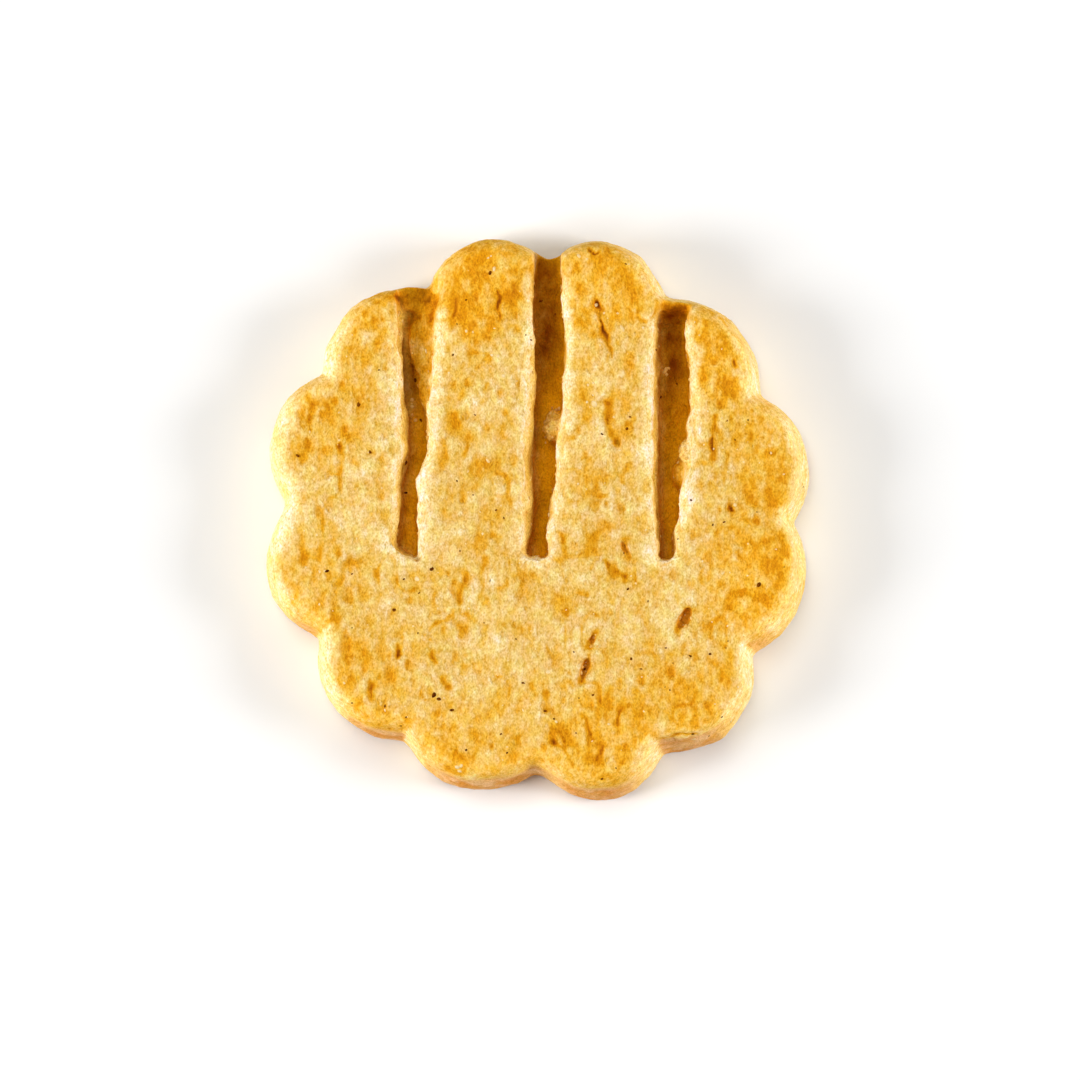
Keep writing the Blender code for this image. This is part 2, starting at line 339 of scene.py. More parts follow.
inward, outward = outline_gap(points[:, :2])
depth = top_height - points[:, 2]
level = normals[:, 2]
within = ramp(inward, 1.3, 2.2)
upper = ramp(level, -0.4, 0.2)
lip_gap = gap_to(points, (inward > 1.6) & (depth > 1.35) & (level > -0.2))
left_wall_gap = gap_to(points, (inward > 1.6) & (depth > 1.5) & (normals[:, 0] > 0.7))
rim = 1 - ramp(inward, 0.8, 2.6)
plan = points[:, :2] / np.maximum(np.linalg.norm(points[:, :2], axis=1), 1.0)[:, None]
inner_wall = 1 - ramp(np.sum(normals[:, :2] * plan, axis=1), -0.6, -0.2)
floor_like = np.maximum(within * upper, ramp(level, 0.45, 0.65) * ramp(depth, 1.0, 1.6))
floor_like = np.maximum(floor_like, inner_wall * upper * ramp(depth, 0.6, 1.2))
groove = floor_like * ramp(depth, 0.7, 2.2)
underside = ramp(-level, 0.3, 0.8)
side = (1 - floor_like) * ramp(depth, 0.9, 2.6) * (1 - underside)
print("share in grooves:", round(float((groove > 0.5).mean()), 3))

# %% [markdown]
# ## What the photograph shows of the bake
#
# A biscuit is browned by chance, so its patches can't come from a rule. These lists say where the
# oven left its larger marks: the broad golden zones of the lobes, toasted blotches, pale places,
# the brown creases and tears where the skin cracked, and the lumps and slumped lips of the grooves.
# Everything smaller is left to noise. Places are pixels of the photograph.
# The brown of the creases is partly painted shade in their dents.

# %% Marks of the bake
# A zone or blotch is x, y, half its width, half its height and its strength.
ZONES = [
    (468, 282, 60, 70, 1.40), (605, 285, 62, 62, 1.15), (715, 350, 50, 75, 1.00),
    (775, 462, 45, 85, 0.60), (765, 590, 62, 70, 1.20), (700, 700, 62, 48, 0.75),
    (602, 745, 68, 56, 0.85), (450, 748, 62, 50, 0.65), (362, 682, 62, 56, 0.42),
    (300, 592, 45, 60, 0.45), (318, 420, 55, 62, 0.60), (365, 322, 42, 50, 0.60),
    (545, 722, 60, 50, 0.35), (415, 312, 30, 40, 0.60), (595, 400, 45, 90, 0.25),
    (470, 400, 50, 60, 0.15),
]
TOASTED = [
    (362, 315, 10, 9, 0.9), (371, 320, 5, 5, 0.8), (383, 322, 5, 5, 0.8), (379, 342, 5, 8, 0.8),
    (346, 348, 6, 4, 0.8), (365, 358, 8, 9, 0.8), (341, 361, 4, 7, 0.5), (355, 330, 5, 6, 0.5),
    (386, 297, 12, 3, 0.7), (308, 400, 6, 9, 0.75), (326, 405, 5, 9, 0.85), (306, 422, 6, 9, 0.95),
    (302, 444, 6, 7, 0.5), (294, 451, 5, 5, 0.8), (333, 447, 11, 6, 0.75), (347, 434, 6, 8, 0.7),
    (362, 424, 7, 12, 0.55), (352, 388, 3, 8, 0.6), (318, 505, 5, 12, 0.5), (326, 525, 9, 8, 0.6),
    (371, 492, 5, 5, 0.55), (377, 514, 6, 9, 0.55), (335, 575, 5, 38, 0.35), (378, 561, 5, 9, 0.65),
    (283, 574, 8, 8, 0.6), (297, 597, 6, 11, 0.95), (331, 619, 7, 5, 0.75), (317, 634, 7, 4, 0.7),
    (355, 644, 7, 8, 0.8), (362, 656, 6, 6, 0.7), (350, 665, 10, 9, 0.5), (397, 650, 5, 7, 0.9),
    (394, 674, 9, 8, 0.85), (341, 680, 4, 5, 0.6), (371, 690, 5, 11, 0.75), (359, 705, 6, 6, 0.75),
    (366, 719, 5, 6, 0.7), (391, 731, 8, 6, 0.5), (405, 719, 9, 7, 0.5), (470, 258, 18, 10, 0.8),
    (462, 270, 9, 8, 0.75), (503, 252, 16, 7, 0.6), (480, 275, 9, 6, 0.9), (475, 285, 6, 5, 0.95),
    (459, 299, 8, 12, 0.6), (472, 303, 7, 9, 0.55), (484, 316, 10, 5, 0.75), (471, 324, 8, 10, 0.6),
    (509, 276, 8, 11, 0.6), (516, 302, 6, 14, 0.7), (514, 331, 6, 5, 0.6), (484, 341, 7, 5, 0.5),
    (490, 366, 4, 8, 0.7), (519, 355, 5, 5, 0.5), (455, 413, 5, 5, 0.9), (457, 422, 7, 4, 0.55),
    (462, 390, 9, 7, 0.5), (488, 428, 8, 4, 0.55), (497, 437, 11, 11, 0.4), (494, 461, 4, 4, 0.6),
    (463, 477, 5, 5, 0.55), (507, 478, 5, 7, 0.65), (447, 505, 9, 9, 0.4), (577, 265, 5, 10, 0.55),
    (576, 288, 6, 10, 0.7), (597, 261, 9, 8, 0.75), (602, 273, 5, 7, 0.6), (615, 253, 14, 5, 0.75),
    (641, 272, 4, 6, 0.7), (627, 269, 8, 9, 0.6), (629, 284, 9, 8, 0.5), (611, 313, 7, 6, 0.65),
    (631, 306, 4, 11, 0.6), (591, 326, 5, 7, 0.6), (577, 325, 8, 9, 0.35), (638, 336, 6, 4, 0.9),
    (579, 360, 5, 14, 0.35), (635, 381, 8, 5, 0.45), (584, 397, 7, 10, 0.45),
    (586, 415, 8, 6, 0.55), (618, 393, 7, 5, 0.5), (589, 458, 8, 4, 0.55), (605, 495, 6, 4, 0.75),
    (583, 519, 6, 6, 0.65), (572, 490, 9, 18, 0.35), (421, 577, 4, 7, 0.65), (438, 607, 6, 7, 0.6),
    (435, 655, 6, 9, 0.65), (466, 669, 6, 5, 1.0), (446, 682, 6, 10, 0.75), (503, 673, 7, 10, 0.45),
    (565, 602, 8, 14, 0.45), (632, 586, 8, 5, 0.6), (434, 729, 5, 12, 0.75),
    (430, 746, 9, 10, 0.65), (441, 752, 6, 6, 0.85), (456, 757, 8, 5, 0.95), (464, 766, 5, 9, 0.8),
    (451, 769, 6, 9, 0.75), (508, 754, 10, 6, 0.6), (516, 741, 6, 9, 0.65), (506, 711, 7, 8, 0.6),
    (513, 726, 5, 12, 0.35), (541, 688, 8, 8, 0.4), (556, 728, 6, 7, 0.7), (605, 704, 11, 7, 0.8),
    (606, 713, 13, 8, 0.6), (638, 711, 9, 7, 0.65), (614, 724, 7, 8, 0.7), (603, 748, 6, 5, 0.7),
    (621, 751, 8, 6, 0.6), (620, 764, 6, 7, 0.85), (567, 763, 7, 13, 0.8), (578, 756, 7, 6, 0.65),
    (592, 778, 12, 5, 0.45), (609, 776, 8, 5, 0.6), (640, 735, 7, 13, 0.45), (725, 676, 5, 7, 0.95),
    (685, 688, 5, 7, 0.7), (698, 682, 7, 8, 0.5), (704, 706, 12, 8, 0.6), (714, 712, 8, 9, 0.65),
    (696, 722, 6, 9, 0.75), (738, 714, 5, 6, 0.7), (677, 720, 9, 8, 0.7), (694, 653, 6, 8, 0.7),
    (706, 661, 5, 5, 0.7), (732, 656, 5, 9, 0.6), (770, 565, 15, 10, 0.9), (785, 550, 6, 8, 0.75),
    (784, 574, 8, 10, 0.7), (748, 593, 6, 6, 1.0), (764, 597, 15, 9, 0.9), (772, 606, 10, 7, 0.6),
    (745, 619, 10, 9, 0.75), (718, 617, 6, 6, 0.75), (753, 556, 6, 8, 0.55), (737, 536, 5, 8, 0.65),
    (716, 530, 7, 7, 0.7), (762, 640, 16, 9, 0.5), (747, 521, 9, 4, 0.6), (772, 428, 8, 9, 0.95),
    (765, 440, 7, 10, 0.55), (750, 437, 10, 5, 0.8), (764, 456, 9, 8, 0.95), (776, 453, 6, 6, 0.9),
    (771, 467, 10, 7, 0.75), (786, 441, 7, 7, 0.5), (798, 455, 4, 9, 0.6), (777, 481, 7, 8, 0.7),
    (773, 491, 7, 7, 0.8), (778, 503, 10, 10, 0.7), (755, 419, 9, 9, 0.5), (765, 403, 9, 8, 0.65),
    (703, 334, 7, 10, 1.0), (706, 325, 10, 6, 0.65), (716, 315, 9, 5, 0.7), (725, 346, 6, 14, 0.85),
    (736, 356, 5, 9, 0.85), (741, 368, 6, 7, 0.7), (724, 383, 9, 9, 0.8), (739, 380, 8, 11, 0.6),
    (706, 375, 6, 10, 0.5), (714, 402, 7, 9, 0.6), (713, 437, 6, 24, 0.65), (721, 473, 7, 7, 0.75),
    (720, 496, 5, 6, 0.7), (730, 509, 5, 4, 0.85), (402, 297, 10, 6, 0.6), (428, 297, 9, 8, 0.5),
]
PALE = [
    (367, 340, 6, 8, 1.0), (315, 424, 5, 8, 0.7), (331, 435, 7, 6, 0.6), (349, 468, 5, 16, 0.85),
    (285, 430, 6, 12, 0.5), (385, 543, 7, 7, 0.7), (383, 560, 7, 5, 0.7), (369, 534, 5, 5, 0.6),
    (470, 404, 7, 9, 0.5), (492, 393, 6, 7, 0.6), (497, 487, 9, 11, 0.6), (512, 492, 4, 7, 0.6),
    (451, 474, 7, 8, 0.5), (483, 452, 11, 8, 0.6), (491, 584, 5, 18, 0.95), (500, 563, 8, 7, 0.5),
    (500, 641, 7, 6, 0.8), (532, 564, 11, 8, 0.85), (459, 650, 13, 9, 0.35),
    (432, 678, 10, 10, 0.45), (569, 263, 5, 10, 0.8), (568, 310, 6, 9, 0.5), (598, 416, 8, 12, 0.7),
    (625, 386, 6, 6, 0.7), (641, 457, 7, 8, 0.6), (602, 508, 5, 6, 0.6), (646, 548, 10, 9, 0.95),
    (655, 563, 7, 5, 0.7), (613, 534, 4, 5, 0.8), (567, 645, 9, 6, 0.5), (604, 594, 7, 8, 0.5),
    (630, 626, 8, 7, 0.45), (553, 707, 7, 7, 0.6), (575, 695, 9, 7, 0.4), (591, 718, 5, 7, 0.6),
    (592, 750, 7, 7, 0.6), (632, 766, 7, 5, 0.5), (471, 776, 5, 8, 0.85), (472, 702, 11, 11, 0.45),
    (528, 720, 4, 8, 0.5), (733, 350, 5, 8, 0.85), (727, 364, 7, 6, 0.85), (698, 393, 6, 10, 0.7),
    (702, 405, 7, 6, 0.5), (751, 448, 11, 5, 0.6), (760, 484, 10, 13, 0.75), (725, 440, 6, 16, 0.4),
    (788, 452, 5, 6, 0.5), (770, 622, 11, 7, 0.5), (690, 562, 8, 11, 0.5), (722, 573, 9, 5, 0.4),
    (745, 644, 6, 11, 0.75), (703, 688, 7, 9, 0.5), (440, 545, 8, 30, 0.35),
    (680, 545, 6, 24, 0.35), (415, 343, 4, 6, 0.9), (437, 410, 6, 45, 0.4), (425, 510, 6, 40, 0.4),
]
# A bulge is a crumbly lump on a groove's wall: x, y, half its width, half its height, and how far
# it stands out, in millimetres.
BULGES = [
    (554, 415, 6, 12, 0.35), (549, 431, 6, 11, 0.40), (684, 452, 6, 12, 0.30),
    (664, 371, 5, 7, 0.30), (412, 405, 5, 12, 0.25),
]
# Where a groove's left lip slumped into it: x, y, half the width, half the height, and how far it
# slid, in millimetres.
SLUMPS = [
    (532, 480, 12, 75, 0.32), (529, 390, 10, 50, 0.18), (404, 450, 14, 40, 0.32),
    (402, 520, 14, 45, 0.22), (658, 500, 12, 70, 0.15),
]
# A tear that crumbs cling to is written as a bulge that doesn't stand out.
TEARS = [(594, 638, 9, 14, 0), (586, 668, 9, 15, 0), (684, 618, 11, 14, 0)]
# A crease is half its width, its strength, how deep it sinks in millimetres, and its path.
CREASES = [
    (3.0, 0.85, 0.14, [(340, 444), (342, 468), (339, 478), (341, 490)]),
    (1.8, 0.5, 0.05, [(391, 440), (392, 458)]),
    (2.2, 0.8, 0.10, [(497, 293), (499, 303), (498, 308), (502, 318)]),
    (2.5, 0.6, 0.06, [(486, 385), (484, 394)]),
    (2.5, 0.75, 0.08, [(468, 447), (466, 456)]),
    (2.0, 0.5, 0.10, [(485, 557), (483, 572), (482, 590), (483, 604)]),
    (3.2, 0.8, 0.14, [(465, 574), (466, 583), (462, 590), (461, 601)]),
    (2.0, 0.6, 0.08, [(456, 610), (452, 616), (446, 620), (438, 621), (431, 627)]),
    (1.8, 0.65, 0.08, [(427, 633), (431, 640), (429, 648)]),
    (3.0, 0.8, 0.12, [(432, 651), (434, 657), (437, 661)]),
    (3.0, 0.7, 0.10, [(466, 612), (470, 617), (473, 623)]),
    (3.5, 0.85, 0.12, [(442, 676), (446, 682), (449, 687)]),
    (1.8, 0.7, 0.08, [(420, 694), (423, 699), (428, 702)]),
    (4.0, 1.0, 0.40, [(599, 301), (600, 308), (600, 314)]),
    (2.4, 0.75, 0.20, [(600, 318), (604, 331), (606, 341), (610, 350), (612, 357)]),
    (3.8, 0.9, 0.18, [(608, 400), (609, 412), (610, 423), (613, 432), (616, 443)]),
    (2.5, 0.55, 0.06, [(628, 463), (624, 474), (623, 483)]),
    (3.0, 0.7, 0.08, [(602, 496), (608, 494)]),
    (3.0, 0.75, 0.10, [(616, 571), (620, 577), (625, 579)]),
    (2.2, 0.8, 0.08, [(604, 560), (607, 565)]),
    (1.8, 0.6, 0.05, [(592, 570), (596, 563)]),
    (2.8, 0.65, 0.08, [(580, 593), (587, 593)]),
    (3.0, 0.9, 0.16, [(547, 693), (545, 703), (546, 712)]),
    (2.8, 0.8, 0.12, [(583, 714), (586, 720), (587, 730), (591, 739)]),
    (2.5, 0.65, 0.08, [(554, 742), (560, 749), (567, 753)]),
    (2.2, 0.8, 0.10, [(568, 679), (572, 686)]),
    (3.2, 0.9, 0.14, [(714, 417), (713, 430), (712, 445), (714, 458)]),
    (2.2, 0.75, 0.08, [(727, 504), (731, 510)]),
    (2.6, 0.6, 0.06, [(702, 566), (701, 581)]),
    (2.2, 0.7, 0.08, [(736, 550), (738, 557)]),
    (1.6, 0.65, 0.06, [(720, 320), (728, 325)]),
    (1.8, 0.8, 0.10, [(590, 249), (594, 252), (600, 250)]),
    (2.8, 0.9, 0.10, [(733, 361), (735, 367)]),
    (2.0, 0.75, 0.16, [(662, 739), (680, 736), (697, 733)]),
    (1.4, 0.7, 0.08, [(662, 567), (672, 562)]),
    (3.5, 0.8, 0.10, [(371, 684), (372, 698)]),
    (3.0, 0.9, 0.10, [(397, 646), (399, 655)]),
    (1.6, 0.5, 0.05, [(403, 638), (402, 650)]),
    (2.6, 0.7, 0.06, [(310, 418), (311, 430)]),
    (2.8, 0.65, 0.06, [(339, 547), (338, 556)]),
    (4.5, 1.0, 0.10, [(596, 630), (591, 640), (589, 647)]),
    (5.0, 1.0, 0.10, [(590, 657), (585, 668), (581, 679)]),
    (5.0, 1.0, 0.10, [(689, 608), (684, 617), (677, 630)]),
    (4.0, 0.8, 0.05, [(625, 538), (625, 547), (631, 557)]),
    # The rows that sink nothing are painted shade, on the left groove's floor and the right
    # groove's head and floor.
    (6.0, 0.60, 0.00, [(397, 297), (403, 305), (408, 316), (407, 326)]),
    (7.0, 0.4, 0.00, [(662, 307), (684, 309)]),
    (7.0, 0.7, 0.00, [(662, 316), (685, 318)]),
    (7.0, 0.5, 0.00, [(667, 398), (666, 420)]),
]
print("marks:", len(TOASTED), "toasted,", len(PALE), "pale,", len(CREASES), "creases")

# %% [markdown]
# ### From the lists to the crust
#
# Each point of the crust is looked up in the photograph and takes the strongest mark that lies
# there. Noise tears the edges of the marks, since smooth ovals would look painted on.

# %% Marks on the crust
def blotches(seen, marks, full, none):
    """The strongest mark at each place, fading out between those shares of its half size."""
    total = np.zeros(len(seen))
    for x, y, half_width, half_height, strength in marks:
        gap = np.linalg.norm((seen - (x, y)) / (half_width, half_height), axis=1)
        total = np.maximum(total, strength * (1 - ramp(gap, full, none)))
    return total


def path_gap(seen, path):
    """How many pixels each place is from a path."""
    nearest = np.full(len(seen), np.inf)
    for start, end in zip(np.array(path[:-1], float), np.array(path[1:], float)):
        along = end - start
        share = np.clip((seen - start) @ along / (along @ along), 0, 1)
        nearest = np.minimum(nearest, np.linalg.norm(seen - start - share[:, None] * along, axis=1))
    return nearest


# A crease fades out at this many times its half width. A thin one fades further out, and paler.
REACH, THIN_REACH, SINK_REACH = 1.1, 1.5, 0.2
THIN_CREASE_PX = 4.0
BANK_GAP, BANK_WIDTH = 2.1, 0.7


def creased(seen, marks):
    """How brown the creases make each place, how deep it sinks, and how high their banks are."""
    brown_and_shade, sunk, bank = np.zeros(len(seen)), np.zeros(len(seen)), np.zeros(len(seen))
    for half_width, strength, sink, path in marks:
        gap = path_gap(seen, path) / half_width
        reach = THIN_REACH if half_width < THIN_CREASE_PX else REACH
        tone = strength * (REACH / reach) ** 0.5
        # A crease's brown is partly painted shade in its dent.
        brown_and_shade = np.maximum(brown_and_shade, tone * (1 - ramp(gap, 0.0, reach)))
        sunk = np.maximum(sunk, sink * (1 - ramp(gap, 0.0, reach + SINK_REACH)))
        bank = np.maximum(bank, strength * np.exp(-(((gap - BANK_GAP) / BANK_WIDTH) ** 2)))
    return brown_and_shade, sunk, bank


COARSE_SHIFT_PX, CLOSE_SHIFT_PX = 3.5, 2.0


def ragged(places, seed):
    """A shift of a few pixels that tears the edges of the marks."""
    coarse = [waves(places, 1.1, seed + k) for k in range(2)]
    close = [waves(places, 0.45, seed + 2 + k) for k in range(2)]
    return COARSE_SHIFT_PX * np.stack(coarse, -1) + CLOSE_SHIFT_PX * np.stack(close, -1)


seen = pixels(points)
zone = blotches(seen + 4 * ragged(points, 31), ZONES, 0.35, 1.35) * upper
zone = np.maximum(zone, 0.9 * rim * ramp(np.abs(outward[:, 1]), 0.3, 0.8) * upper)
toast = blotches(seen + ragged(points, 51), TOASTED, 0.0, 1.7) * upper
cream = blotches(seen + ragged(points, 61), PALE, 0.0, 1.7) * upper
bulge = blotches(seen + ragged(points, 81), BULGES, 0.5, 1.2)
bulge *= within * ramp(depth, 0.2, 0.6) * (1 - ramp(depth, 3.5, 5.0))
slump = blotches(seen, SLUMPS, 0.6, 1.3) * within * ramp(normals[:, 0], 0.1, 0.6)
slump *= ramp(depth, 0.7, 2.0) * (1 - ramp(depth, 2.6, 5.0))
brown_and_shade, sunk, bank = creased(seen + 0.8 * ragged(points, 71), CREASES)
brown_and_shade, sunk, bank = brown_and_shade * upper, sunk * upper, bank * upper
print("toasted share:", round(float((toast > 0.4).mean()), 3))

# %% [markdown]
# ## Relief
#
# Shortbread dough is short: it breaks into crumbs more than it stretches. Its skin has a slow
# swell, soft lumps about a millimetre wide, a finer crumb, thin fissures, and pits where fat or gas
# escaped. The press that cut the grooves dragged the skin along them, so the lumps are longer that
# way. The walls of the grooves were torn and are lumpier. All of it moves the points along their
# normals, except that the left lips of the grooves slumped sideways into them.

# %% Relief
# How far each layer moves the skin, in millimetres.
LOW_SWELL, SWELL = 0.08, 0.14
LUMPS, SMALL_LUMPS = 0.150, 0.090
CRUMB, FINE_CRUMB = 0.140, 0.090
PIT, FISSURE = 0.27, 0.10
TORN_SWELL, TORN_LUMPS, TORN_CRUMB = 0.10, 0.05, 0.09
CREASE_BANK, PALE_RISE, TOAST_SINK = 0.06, 0.04, 0.04
HIGHEST = 0.20
SOLE_SHARE = 0.4  # the underside keeps this share of its relief, all of it inward
DRAG = (1.0, 0.62, 1.0)  # noise of places squeezed like this is longer along the grooves


def pits(places, size, share, seed):
    """Round hollows in a share of the grains of that size, from 0 to 1 deep."""
    gap, label = grains(places, size, seed)
    reach = 0.25 + 0.25 * np.clip(label / share, 0, 1)
    return np.where(label < share, np.clip(1 - (gap / reach) ** 2, 0, 1), 0)


calm = 1 - 0.60 * rim - 0.25 * (1 - ramp(lip_gap, 0.3, 1.6)) * ramp(inward, 1, 2)
dragged = points * DRAG
crumb = 0.35 - np.minimum(grains(dragged, 0.70, 11)[0], 1.0) ** 2
fine_crumb = 0.35 - np.minimum(grains(dragged, 0.42, 15)[0], 1.0) ** 2
slow = LOW_SWELL * waves(points, 4.2, 1) + SWELL * waves(dragged, 1.9, 9)
relief = LUMPS * waves(dragged, 0.95, 2) + SMALL_LUMPS * waves(dragged, 0.50, 4)
relief += CRUMB * crumb * (0.6 + 0.6 * waves(points, 2.2, 3)) + FINE_CRUMB * fine_crumb
pitted = np.maximum(pits(dragged, 1.9, 0.25, 21), 0.9 * pits(dragged, 1.1, 0.28, 31)) * upper
fissure = 1 - ramp(np.abs(waves(dragged, 1.7, 12)), 0.03, 0.15)
fissure *= ramp(waves(points, 2.6, 14), 0.10, 0.40)
fissure *= upper * (1 - groove)
relief = (relief - PIT * pitted - FISSURE * fissure) * calm
torn = within * ramp(depth, 0.5, 1.2) * (1 - ramp(level, 0.80, 0.95)) * upper
relief += torn * (TORN_SWELL * waves(points, 1.6, 5) + TORN_LUMPS * waves(points, 0.5, 8))
relief += torn * TORN_CRUMB * (0.4 - grains(points, 0.9, 41)[0] ** 2)
height = relief + slow - sunk + CREASE_BANK * bank + PALE_RISE * cream - TOAST_SINK * toast
lumpy = 1.0 + 0.8 * waves(points, 0.5, 6) + 0.8 * (0.4 - grains(points, 0.5, 43)[0] ** 2)
height += bulge * lumpy
height = np.where(bulge > 0.05, height, np.minimum(height, HIGHEST))
height = np.where(underside > 0.5, -SOLE_SHARE * np.abs(height), height)
moved = points + normals * height[:, None]
moved[:, 0] += slump * (1 + 0.3 * waves(points, 1.6, 7))
moved[:, 2] = np.maximum(moved[:, 2], 0.0)
crust.data.vertices.foreach_set("co", (moved * MM).astype(np.float32).ravel())
crust.data.update()
print("relief, mm:", round(float(height.min()), 2), "to", round(float(height.max()), 2))

# %% [markdown]
# ## Colour masks
#
# The rounded rims and the pressed lips are pale. Rims are paler still where they face the side
# lamps, which is painted light, and most sides are paler too, partly as painted light. The groove
# walls are golden and their floors caramel, darker with depth partly as painted shade, with a
# painted shadow beside each floor's left wall. The slumped lips are ledges of light gold. Only the
# side that faces the lower edge of the photograph is tan, partly as painted shade. The masks of the
# walls and floors are softened, so that they fade into each other. All are stored on the points of
# the mesh as attributes, and the material reads them.

# %% Colour masks
def store(mesh, name, values):
    """Keeps one number for every point of the mesh, under that name."""
    attribute = mesh.attributes.new(name, "FLOAT", "POINT")
    attribute.data.foreach_set("value", np.asarray(values, np.float32))


edges = np.empty(len(crust.data.edges) * 2, np.int32)
crust.data.edges.foreach_get("vertices", edges)
ends = np.concatenate([edges.reshape(-1, 2), edges.reshape(-1, 2)[:, ::-1]]).T
neighbours = np.bincount(ends[0], minlength=len(points))


def softened(values, rounds):
    """Values on the points, spread a little further along the mesh's edges in each round."""
    for _ in range(rounds):
        values = (values + np.bincount(ends[0], values[ends[1]], len(points))) / (1 + neighbours)
    return values


# Partly painted light: a rim is paler where its outline faces left or right, towards the side
# lamps, and most where it faces left.
faces = 0.80 * ramp(np.abs(outward[:, 0]), 0.3, 0.9) + 0.15 * ramp(-outward[:, 0], 0.5, 1.0)
rim_band = (1 - ramp(inward + 0.5 * waves(points, 2.3, 91), 0.5, 1.9)) * (0.12 + faces)
lip_band = (1 - ramp(lip_gap, 1.1, 2.2)) * (1 - ramp(depth, 0.9, 1.9)) * ramp(inward, 1.5, 3.0)
lip_band *= 0.7 + 0.3 * ramp(points[:, 1], -3.5, -1.0)
pale = np.clip(np.maximum(rim_band, lip_band) * upper, 0, 1)
ledge = within * ramp(normals[:, 0], 0.05, 0.30) * ramp(depth, 0.7, 1.3)
ledge *= 1 - ramp(depth, 3.6, 5.2)
crumbly = ramp(bulge, 0.05, 0.20)
ledge = softened(np.maximum(ledge, crumbly), 8)
# Walls grow more golden with depth and floors take a caramel tone, partly as painted shade.
wall = softened(floor_like * ramp(depth, 1.1, 2.3), 3) * (1 - ledge)
cave = softened(groove * ramp(depth, 1.6, 3.4), 3) * (1 - 0.9 * ledge)
hollow = ramp(depth, 0.22, 0.50) * ramp(lip_gap, 2.0, 2.6) * ramp(inward, 2.0, 3.2)
# Painted shadow: floors are darker beside each groove's left wall and towards the far end near it,
# and less so on walls that face the left lamp.
far_end = ramp(points[:, 1] + 0.25 * np.abs(points[:, 0]), 8.5, 18.5)
far_end *= (1 - 0.7 * ramp(left_wall_gap, 1.0, 3.0)) * (1 - 0.6 * ramp(-normals[:, 0], 0.2, 0.7))
far_end = cave * np.clip(far_end + 0.25 - 0.25 * ramp(left_wall_gap, 0.3, 1.6), 0, 1)
# Partly painted shade: the side that faces the lower edge, away from the lamps, is tan.
southward = -normals[:, 1] / np.maximum(np.hypot(normals[:, 0], normals[:, 1]), 0.2)
tan = side * ramp(depth, 1.1, 3.4) * ramp(southward, 0.65, 0.97)
masks = {
    "zone": zone,
    "rim": rim,
    "south_rim": rim * upper * ramp(-outward[:, 1], 0.3, 0.8),
    "toast": toast,
    # Crease banks are paler, partly as painted highlight.
    "cream": np.maximum(cream, 0.5 * bank),
    # Creases and fissures are browner, partly as painted shade.
    "brown_and_shade": np.maximum(brown_and_shade, 0.28 * fissure * calm),
    "hollow": hollow,
    # The other sides are paler, partly as painted light.
    "pale": np.maximum(pale, 0.75 * side * (1 - tan)),
    "ledge": ledge,
    "wall": wall,
    "cave": cave,
    "far_end": far_end,
    "rise": np.clip(relief / 0.16, -1, 1),
    "pit": pitted * calm,
    "tan": tan,
    "underside": underside,
}
for name, values in masks.items():
    store(crust.data, name, values)
    print(name, round(float(np.mean(values)), 3))

# %% [markdown]
# ## Shader maths as sums
#
# A material is a tree of nodes, and a sum of two masks is a node too. This small class wraps an
# output socket, so that sums on it read as plain Python and add the nodes that work them out.

# %% Shader maths
class Wire:
    """One output of a material's nodes."""

    def __init__(self, tree, socket=None):
        self.tree, self.socket = tree, socket

    def node(self, kind, settings=(), values=(), output=0):
        """Any other node: its type, its settings, then the values or wires of its sockets."""
        made = self.tree.nodes.new(kind)
        for name, value in dict(settings).items():
            setattr(made, name, value)
        for name, value in dict(values).items():
            feed(self.tree, made.inputs[name], value)
        return Wire(self.tree, made.outputs[output])

    def other(self, name):
        """Another output of the same node."""
        return Wire(self.tree, self.socket.node.outputs[name])

    def sum(self, operation, *values):
        """One step of arithmetic, on each channel where a colour or place takes part."""
        vector = any(isinstance(v, Wire) and v.socket.type in ("RGBA", "VECTOR") for v in values)
        kind = "ShaderNodeVectorMath" if vector else "ShaderNodeMath"
        return self.node(kind, {"operation": operation}, dict(enumerate(values)))

    def __add__(self, other):
        return self.sum("ADD", self, other)

    def __sub__(self, other):
        return self.sum("SUBTRACT", self, other)

    def __rsub__(self, other):
        return self.sum("SUBTRACT", other, self)

    def __mul__(self, other):
        return self.sum("MULTIPLY", self, other)

    __radd__, __rmul__ = __add__, __mul__

    def between(self, low, high, kind="SMOOTHSTEP"):
        """0 below low, 1 above high, and a soft or straight step between them."""
        values = {"Value": self, "From Min": low, "From Max": high}
        return self.node("ShaderNodeMapRange", {"interpolation_type": kind}, values)

    def blend(self, first, second):
        """The first colour where this mask is 0, and the second where it is 1."""
        return self.node("ShaderNodeMix", {"data_type": "RGBA"}, {0: self, 6: first, 7: second}, 2)

    def scale(self, stops):
        """The colour at this value, on a scale of stops that are each a value and a colour."""
        low, tone = stops[0][0], colour(stops[0][1])
        for high, code in stops[1:]:
            tone = self.between(low, high, "LINEAR").blend(tone, colour(code))
            low = high
        return tone


def feed(tree, socket, value):
    """Links a wire to a socket, or sets the socket to a plain value."""
    if isinstance(value, Wire):
        tree.links.new(value.socket, socket)
    elif socket.type == "VECTOR" and not hasattr(value, "__len__"):
        socket.default_value = (value, value, value)
    else:
        socket.default_value = value


def colour(code):
    """A colour written as on screen, such as F0C064, in the linear light that shaders use."""
    parts = [int(code[i:i + 2], 16) / 255 for i in (0, 2, 4)]
    return tuple(p / 12.92 if p < 0.04045 else ((p + 0.055) / 1.055) ** 2.4 for p in parts) + (1.0,)


STRETCH = 0.65  # the bake's patches are longer along the grooves too


